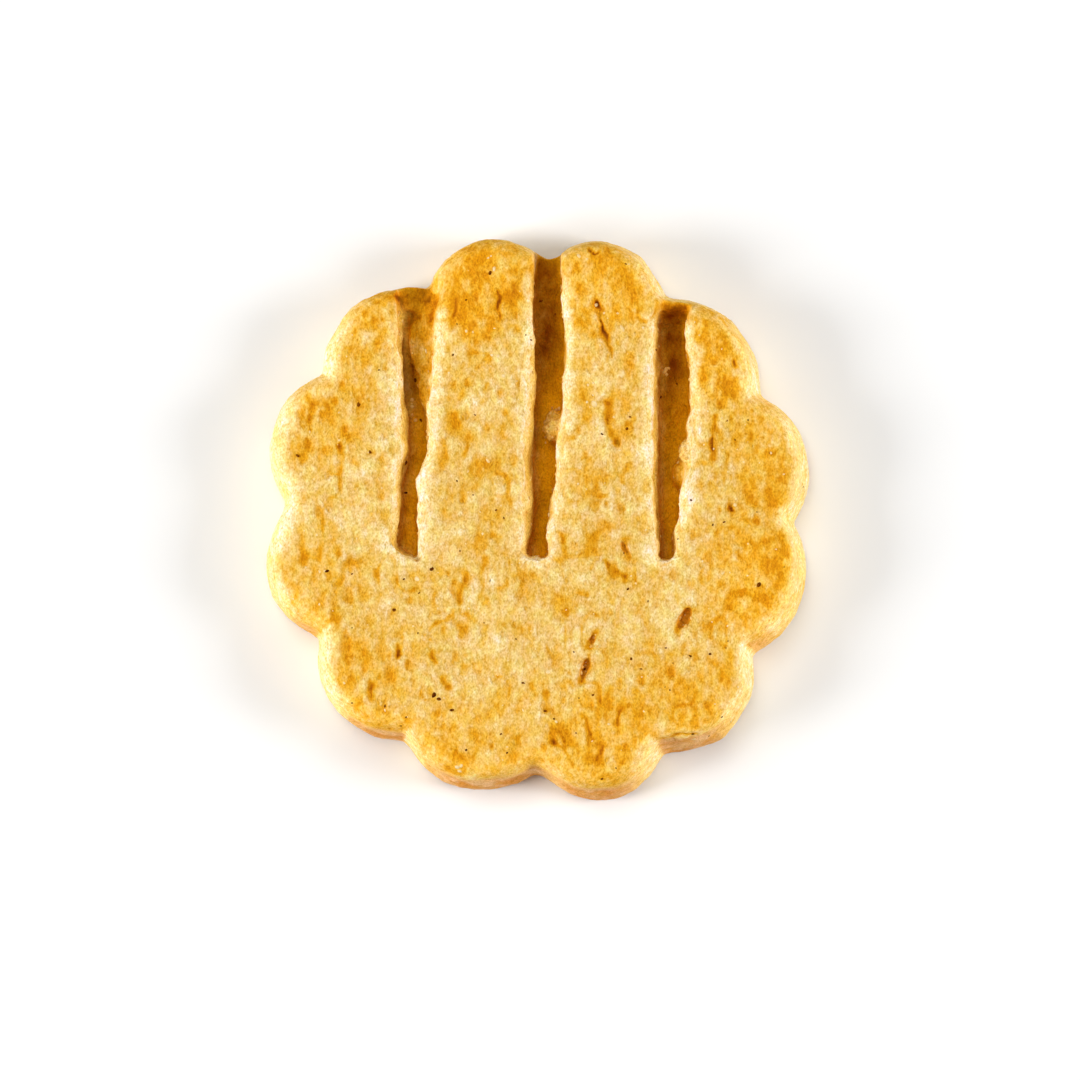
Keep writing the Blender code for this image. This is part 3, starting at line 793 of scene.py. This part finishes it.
class Finish:
    """A new material, its shader, and the noise and masks that its colours are made of."""

    def __init__(self, name):
        self.material = bpy.data.materials.new(name)
        self.material.use_nodes = True
        self.shader = self.material.node_tree.nodes["Principled BSDF"]
        self.start = Wire(self.material.node_tree)
        squeeze = (1 / MM, STRETCH / MM, 1 / MM)
        self.place = self.start.node("ShaderNodeTexCoord", output="Object") * squeeze

    def noise(self, size, detail=2.0, shift=0.0):
        """Soft noise from 0 to 1, with spots about that many millimetres wide."""
        values = {"Vector": self.place + shift, "Scale": 1 / size, "Detail": detail}
        return self.start.node("ShaderNodeTexNoise", {}, values)

    def pores(self, size, share, reach):
        """1 in a share of scattered spots of that spacing, and 0 between them."""
        values = {"Vector": self.place, "Scale": 1 / size}
        gap = self.start.node("ShaderNodeTexVoronoi", {}, values)
        label = self.start.node("ShaderNodeSeparateColor", {}, {"Color": gap.other("Color")})
        return gap.between(reach, 0.4 * reach) * label.sum("GREATER_THAN", label, 1 - share)

    def mask(self, name):
        """One of the masks stored on the mesh."""
        return self.start.node("ShaderNodeAttribute", {"attribute_name": name}, output="Fac")

    def set(self, name, value):
        """Gives one input of the shader a wire or a value."""
        feed(self.start.tree, self.shader.inputs[name], value)

    def bump(self, height, distance):
        """Fine relief in the shading only, that many millimetres deep."""
        values = {"Strength": 1.0, "Distance": distance * MM, "Height": height}
        self.set("Normal", self.start.node("ShaderNodeBump", {}, values))


# %% [markdown]
# ## The baked crust
#
# How brown a place is can be told by one number, its heat: cream at 0, straw, gold, amber, and dark
# caramel at 1. Noise of several sizes makes the heat uneven, and low places and pits raise it,
# partly for fat that gathered there and partly as painted shade. The masks raise or lower it. One
# scale of colours then turns heat into crust, so that all the marks run into each other softly. A
# faint drift from pinkish to greenish yellow and a fine grain go over it, the grain partly painted
# glints and painted shade in tiny pores. Painted light and shade then brighten or darken the crust
# in places. Tears, ledges, groove floors and the tan side have tones of their own, the floors and
# the side partly painted shade.

# %% Crust material
# Each stop is a heat and the colour of the crust at that heat.
BAKE = [
    (0.00, "FFEFC8"), (0.12, "FEE6A8"), (0.27, "FAD98A"), (0.42, "F4C76A"), (0.52, "F2BD50"),
    (0.62, "EFB032"), (0.72, "E8A118"), (0.84, "DA8C08"), (0.97, "AE5E04"), (1.12, "743802"),
]
PINKISH = (1.01, 0.985, 1.20, 1.0)
GREENISH = (1.00, 1.000, 0.76, 1.0)
# The grain's dull and bright ends are partly painted shade in tiny pores and painted glints.
DULL = (0.76, 0.65, 0.30, 1.0)
BRIGHT = (1.24, 1.35, 1.75, 1.0)
TAN = colour("E0903A")
TAN_PALE = colour("F4BF80")
GLOW = colour("F8B00A")
SHADE = colour("8A4200")
TORN = colour("F0A41E")
LEDGE = colour("F3C452")
MEAN_HEAT, HOTTEST_SKIN = 0.41, 0.81
BUMP_DEPTH = 0.175

baked = Finish("baked_crust")


def over(skin, name, strength, tone):
    """The skin, with a tone over it where the mask of that name is high."""
    return (baked.mask(name) * strength).between(0.0, 1.0, "LINEAR").blend(skin, tone)


dust = baked.noise(0.13, 0.0, 5.0) - 0.5
fine = baked.noise(0.26, 1.0, 3.0) - 0.5
speck = baked.noise(0.50, 1.0, 17.0) - 0.5
mottle = baked.noise(1.0, 1.5) - 0.5
blotch = baked.noise(2.4, 1.5, 7.0) - 0.5
broad = baked.noise(6.0, 2.0, 13.0) - 0.5
rise = baked.mask("rise")
pore = baked.pores(0.95, 0.25, 0.26)
heat = MEAN_HEAT + broad * 0.22 + blotch * 0.33 + mottle * 0.39 + speck * 0.28
# Low places, pits and pores are hotter, partly for fat gathered there and partly as painted shade.
heat = heat - fine * 0.20 - rise * 0.14
heat = heat + baked.mask("zone") * 0.19 + baked.mask("toast") * (0.20 + speck * 0.4)
heat = heat + baked.mask("pit") * 0.10 + pore * 0.12
heat = heat - baked.mask("pale") * (0.29 + mottle * 0.4)
heat = heat - baked.mask("cream") * (0.20 + mottle * 0.3)
heat = heat.sum("MINIMUM", heat, HOTTEST_SKIN)
heat = heat + baked.mask("brown_and_shade") * (0.50 + fine * 0.4)
heat = heat + baked.mask("wall") * (0.26 + mottle * 0.3)
skin = heat.scale(BAKE)
drift = baked.noise(0.8, 2.0, 23.0).between(0.32, 0.68, "LINEAR")
skin = skin * drift.blend(PINKISH, GREENISH)
tan_tone = (blotch + mottle * 0.8).between(-0.2, 0.2).blend(TAN, TAN_PALE)
skin = over(skin, "tan", 0.90 + mottle, tan_tone)
skin = over(skin, "hollow", 0.95 + mottle * 0.6, TORN)
skin = over(skin, "ledge", 0.85 + mottle * 0.9, LEDGE)
skin = over(skin, "underside", 0.6 + blotch, TAN)
floor_tone = (baked.mask("far_end") * 0.9 + blotch * 0.7 + mottle * 0.6).between(0.0, 1.0, "LINEAR")
skin = over(skin, "cave", 1.0 + mottle * 0.5, floor_tone.blend(GLOW, SHADE))
# The fine grain is partly painted glints and painted shade in tiny pores.
grain_and_glint = dust * 1.0 + fine * 0.8 - speck * 0.3 + 0.5
# Painted light and shade: brighter on pale rims, the rim facing the lower edge and the lit parts of
# groove floors, darker in creases; also brighter on golden zones and darker in broad random
# patches.
painted_light_and_tone = 0.90 + baked.mask("zone") * 0.08 + baked.mask("pale") * 0.11 + baked.mask("south_rim") * 0.07
painted_light_and_tone = painted_light_and_tone - (blotch + broad) * 0.06 - baked.mask("brown_and_shade") * 0.06
painted_light_and_tone = painted_light_and_tone + (baked.mask("cave") - baked.mask("far_end")) * 0.08
skin = skin * grain_and_glint.blend(DULL, BRIGHT) * painted_light_and_tone
baked.set("Base Color", skin)
baked.set("Roughness", 0.80 - baked.mask("toast") * 0.12)
baked.shader.inputs["Specular IOR Level"].default_value = 0.05
rough = fine * 0.6 + dust * 0.5 - mottle * 0.9 - speck * 1.0 - pore * 0.5
baked.bump(rough * (1 - baked.mask("rim") * 0.7), BUMP_DEPTH)
crust.data.materials.append(baked.material)
crust.data.shade_smooth()
print("crust nodes:", len(baked.material.node_tree.nodes))

# %% [markdown]
# ## Flecks, grains and crumbs
#
# Dark flecks of toasted seed and pale grains of cheese sit half sunk in the crust, and crumbs cling
# to the torn groove walls. Each kind is one mesh of small uneven lumps. A ray from the camera
# through the pixel where the photograph shows one finds its place, and it lies along the surface.

# %% Small pieces
surface = BVHTree.FromPolygons(
    [Vector(place) for place in moved], [tuple(face.vertices) for face in crust.data.polygons]
)
rng = np.random.default_rng(7)
UNEVENNESS = 0.35
FLATNESS = 0.8  # how thick a placed fleck or grain is, as a share of its width


def ball():
    """The corners and faces of a small round lump."""
    bm = bmesh.new()
    bmesh.ops.create_icosphere(bm, subdivisions=2, radius=1.0)
    corners = np.array([vertex.co[:] for vertex in bm.verts])
    faces = np.array([[vertex.index for vertex in face.verts] for face in bm.faces])
    bm.free()
    return corners, faces


BALL, BALL_FACES = ball()


def landing(px, py):
    """Where the line of sight through a pixel meets the crust, and the way that place faces."""
    place, facing, _, _ = surface.ray_cast(eye, sight(px, py))
    return place, facing


def lump(place, facing, length, width, thickness, turn, sink):
    """The corners of one uneven lump, lying on the surface and sunk into it by a share."""
    lean = Vector(facing).to_track_quat("Z", "Y").to_matrix() @ Matrix.Rotation(turn, 3, "Z")
    uneven = 1 + UNEVENNESS * waves(BALL + rng.uniform(0, 50, 3), 0.9, 81)
    shaped = BALL * uneven[:, None] * (length / 2, width / 2, thickness / 2)
    shaped[:, 2] += (0.5 - sink) * thickness
    return shaped @ np.array(lean).T + np.array(place)


def scatter_piece(name, lumps, material):
    """One mesh of all the lumps of a kind."""
    corners = np.concatenate(lumps) * MM
    faces = [tuple(row) for k in range(len(lumps)) for row in BALL_FACES + k * len(BALL)]
    mesh = bpy.data.meshes.new(name)
    mesh.from_pydata(corners.tolist(), [], faces)
    mesh.materials.append(material)
    mesh.shade_smooth()
    made = bpy.data.objects.new(name, mesh)
    scene.collection.objects.link(made)
    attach(made, "root")
    print(name, len(lumps), "lumps")


# %% [markdown]
# ### Dark flecks
#
# Each row is where a fleck lies in the photograph, its length and width in pixels, and its turn in
# degrees. They are flat, brittle and dark brown.

# %% Dark flecks
PX = FRAME_WIDTH / FRAME_PX
FLECKS = [
    (490, 273, 6, 3.5, 10), (466, 300, 3, 2.5, 0), (457, 324, 3.5, 1.8, 80), (453, 355, 3, 2.5, 0),
    (415, 380, 4.5, 4, 0), (358.5, 404.5, 6, 4, 80), (298, 456, 4.5, 3, 40), (370, 452, 4, 3.5, 0),
    (379, 370, 2.5, 2, 0), (421, 420, 4, 3, 20), (406, 493, 4, 3, 0), (406, 463, 5, 3, 0),
    (327, 571, 6, 3, 110), (352, 574, 3, 2, 70), (432, 569, 5, 4.5, 120), (394, 610, 4.5, 4.5, 0),
    (404, 579, 3.5, 2, 0), (418, 633, 3, 2.2, 20), (434, 695, 6.5, 4.8, 125),
    (439, 699, 5, 3.5, 60), (452, 710, 4.5, 2.8, 125), (385, 706, 4, 2.5, 60),
    (466, 750, 3, 2.8, 0), (406, 717, 3, 2.5, 0), (401, 726, 3, 2, 0), (523, 683, 4, 2.8, 0),
    (501, 734, 3.5, 2.5, 120), (507, 753, 3, 2.2, 100), (593, 695, 3, 2.8, 0),
    (554, 719, 2.5, 2.5, 0), (576, 733, 3, 2.2, 130), (602, 779, 3, 2.8, 0), (616, 768, 2, 2, 0),
    (648, 601, 4, 2, 20), (631, 659, 3.5, 3.2, 0), (641, 669, 4, 2, 15), (690, 656, 4, 2.2, 0),
    (710, 654, 2.8, 2.8, 0), (666, 648, 3.5, 1.8, 0), (665, 687, 3, 1.4, 130),
    (670, 690, 3, 1.8, 10), (693, 734, 3.5, 2.6, 10), (709, 736, 2.6, 2.4, 0),
    (722, 717, 2.8, 2.4, 0), (759, 584.5, 6, 4, 35), (803, 487, 3.2, 2.2, 10),
    (727, 421, 4, 2.2, 120), (691, 500, 3.2, 2.4, 0), (678, 539, 2, 2, 0),
    (713, 525, 4.5, 2.4, 135), (724, 522, 5, 2, 100), (630, 417, 3.5, 2.2, 125),
    (627, 429, 4, 3, 0), (602, 434, 4, 2, 65), (677, 384, 3, 1.8, 20), (661, 397, 4, 2.6, 0),
    (656, 350, 4.5, 2.6, 45), (626, 264, 3.4, 2, 10), (541, 301, 5, 3, 0), (555, 314, 2.6, 2, 70),
    (552, 408, 3, 2, 20), (628, 589, 3.2, 2.8, 0), (496, 510, 2.8, 2, 0), (504, 518, 3.6, 1.8, 15),
    (460, 551, 2.4, 1.8, 90), (475, 415, 3, 1.8, 170), (457, 481, 2.4, 2, 0), (484, 623, 2.2, 2, 0),
    (516, 639, 2.6, 1.8, 10), (531, 340, 3, 2.2, 60), (526, 335, 2, 1.6, 0), (673, 663, 2, 1.6, 0),
    (574, 652, 3, 2, 60), (545, 711, 4, 3, 100), (748, 420, 2.4, 2, 0), (757, 512, 2, 1.6, 0),
    (728, 641, 1.8, 1.8, 0), (726, 648, 2, 2, 0), (352, 703, 3, 2, 20), (473, 495, 2, 1.6, 0),
    (352, 628, 2, 1.6, 0), (490, 581, 4.5, 1.6, 165), (419, 593, 3.6, 1.4, 160),
    (579, 698, 1.8, 1.8, 0), (784, 567, 2, 1.8, 0), (735, 440, 2.4, 1.8, 0), (585, 669, 3.5, 3, 0),
    (624, 553, 2.6, 2.2, 0),
]
FLECK_SCALE = 0.9  # the blur of the photograph makes a fleck look a little larger than it is
THICKEST_FLECK_PX = 3.0
WIDE_FLECK_PX = 2.6
WIDE_SINK, NARROW_SINK = 0.60, 0.72

flecks = []
for x, y, length, width, turn in FLECKS:
    place, facing = landing(x, y)
    thickness = min(width, THICKEST_FLECK_PX) * PX * FLATNESS
    size = (FLECK_SCALE * length * PX, FLECK_SCALE * width * PX, thickness)
    sink = WIDE_SINK if width > WIDE_FLECK_PX else NARROW_SINK
    flecks.append(lump(place, facing, *size, math.radians(turn), sink))

char = Finish("dark_fleck")
char.set("Base Color", char.noise(0.25).between(0.3, 0.7).blend(colour("4A2006"), colour("84480C")))
char.set("Roughness", 0.75 + char.noise(0.2) * 0.2)
char.shader.inputs["Specular IOR Level"].default_value = 0.0
scatter_piece("dark_flecks", flecks, char.material)

# %% [markdown]
# ### Pale grains
#
# The larger grains are placed as the flecks are. Between them, smaller ones are scattered over the
# top at random. A ray straight down finds where each lies, and steep or low places are passed over.

# %% Pale grains
GRAINS = [
    (503, 376, 5, 5, 0), (498, 356, 4, 3.5, 0), (492, 355, 3.5, 3, 0), (466, 331, 3, 3, 0),
    (494, 269, 5, 3, 60), (488, 258, 2.5, 2, 0), (491, 256, 2.5, 2, 90), (594, 404, 6, 5, 130),
    (567, 412, 6, 5, 90), (457, 767, 5.5, 4.5, 20), (461, 766, 4.5, 3.5, 80),
    (460, 771, 4.5, 3.5, 0), (417, 579, 5, 4.5, 0), (548, 672, 5, 4, 70), (588, 385, 3, 2.5, 0),
    (593, 383, 2.5, 2.5, 0), (593, 395, 2.5, 2, 0), (587, 402, 2.5, 2.5, 0), (604, 313, 3, 2.5, 0),
    (614, 417, 2.5, 2.5, 0), (643, 328, 3.5, 3, 0), (622, 328, 8, 3, 15), (579, 256, 5, 3.5, 90),
    (587, 259, 2.5, 2.5, 0), (596, 305, 6, 3.5, 90), (578, 484, 3, 2.5, 0), (549, 515, 6, 5, 90),
    (426, 351, 5, 2, 90), (720, 465, 2.5, 2.5, 0), (771, 453, 3, 2.5, 0), (735, 505, 3.5, 3, 0),
    (723, 573, 3.5, 2.5, 0), (738, 687, 3, 2.5, 90), (731, 721, 3.5, 2.5, 0), (694, 739, 4, 3, 0),
    (609, 724, 3, 3, 0), (464, 531, 3.5, 3, 0), (486, 577, 6, 3, 0), (488, 461, 5, 3, 0),
    (344, 683, 3, 2.5, 0), (385, 710, 3, 2, 60),
]
THICKEST_GRAIN_PX = 4.0
GRAIN_SINK, SMALL_GRAIN_SINK = 0.60, 0.82
ALL_GRAINS = 220
SMALL_GRAIN_SIZE = (0.10, 0.24)
SMALL_GRAIN_SHAPE = (1.3, 1.0, 0.7)
SMALL_GRAIN_REACH = 24.5
ABOVE = 20.0
LOWEST_TOP, LEVEL_ENOUGH = 6.6, 0.6

all_grains = []
for x, y, length, width, turn in GRAINS:
    place, facing = landing(x, y)
    size = (length * PX, width * PX, min(width, THICKEST_GRAIN_PX) * PX * FLATNESS)
    all_grains.append(lump(place, facing, *size, math.radians(turn), GRAIN_SINK))
while len(all_grains) < ALL_GRAINS:
    spot = rng.uniform(-SMALL_GRAIN_REACH, SMALL_GRAIN_REACH, 2)
    place, facing, _, _ = surface.ray_cast(Vector((*spot, ABOVE)), Vector((0, 0, -1)))
    size = rng.uniform(*SMALL_GRAIN_SIZE)
    turn = rng.uniform(0, math.tau)
    if place is None or place.z < LOWEST_TOP or facing.z < LEVEL_ENOUGH:
        continue
    sides = [size * share for share in SMALL_GRAIN_SHAPE]
    all_grains.append(lump(place, facing, *sides, turn, SMALL_GRAIN_SINK))

ivory = Finish("pale_grain")
ivory_tone = ivory.noise(0.3).between(0.3, 0.7)
ivory.set("Base Color", ivory_tone.blend(colour("F0CB80"), colour("F7DEA6")))
ivory.set("Roughness", 0.55 + ivory.noise(0.2) * 0.3)
scatter_piece("pale_grains", all_grains, ivory.material)

# %% [markdown]
# ### Loose crumbs
#
# Where the grooves were pressed, crumbs broke off and stuck to the walls and lips. More of them
# gather on the crumbly lumps, and at the tears, whose edges they roughen.

# %% Loose crumbs
WALL_CRUMBS = 170
CRUMBS_PER_LUMP = 7
CRUMB_SIZE = (0.14, 0.36)
CRUMB_SHAPE = (1.2, 1.0, 0.8)
DEEPEST_CRUMB = 3.2
WALL_SINK, LUMP_SINK = 0.55, 0.50

crumbs = []


def add_crumb(place, facing, sink):
    """One crumb of a random size and turn."""
    size = rng.uniform(*CRUMB_SIZE)
    sides = [size * share for share in CRUMB_SHAPE]
    crumbs.append(lump(place, facing, *sides, rng.uniform(0, math.tau), sink))


torn_places = np.flatnonzero((torn > 0.4) & (depth < DEEPEST_CRUMB))
for index in rng.choice(torn_places, WALL_CRUMBS, replace=False):
    add_crumb(moved[index], normals[index], WALL_SINK)
for x, y, half_width, half_height, _ in BULGES + TEARS:
    for _ in range(CRUMBS_PER_LUMP):
        place, facing = landing(*rng.normal((x, y), (0.4 * half_width, 0.5 * half_height)))
        add_crumb(place, facing, LUMP_SINK)

crumb_finish = Finish("loose_crumb")
crumb_tone = crumb_finish.noise(0.5, 3.0).between(0.35, 0.65)
crumb_finish.set("Base Color", crumb_tone.blend(colour("E0A43A"), colour("F6D078")))
crumb_finish.set("Roughness", 0.75 + crumb_tone * 0.1)
scatter_piece("loose_crumbs", crumbs, crumb_finish.material)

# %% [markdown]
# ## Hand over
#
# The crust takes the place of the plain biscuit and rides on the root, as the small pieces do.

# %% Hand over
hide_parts("biscuit")
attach(crust, "root")
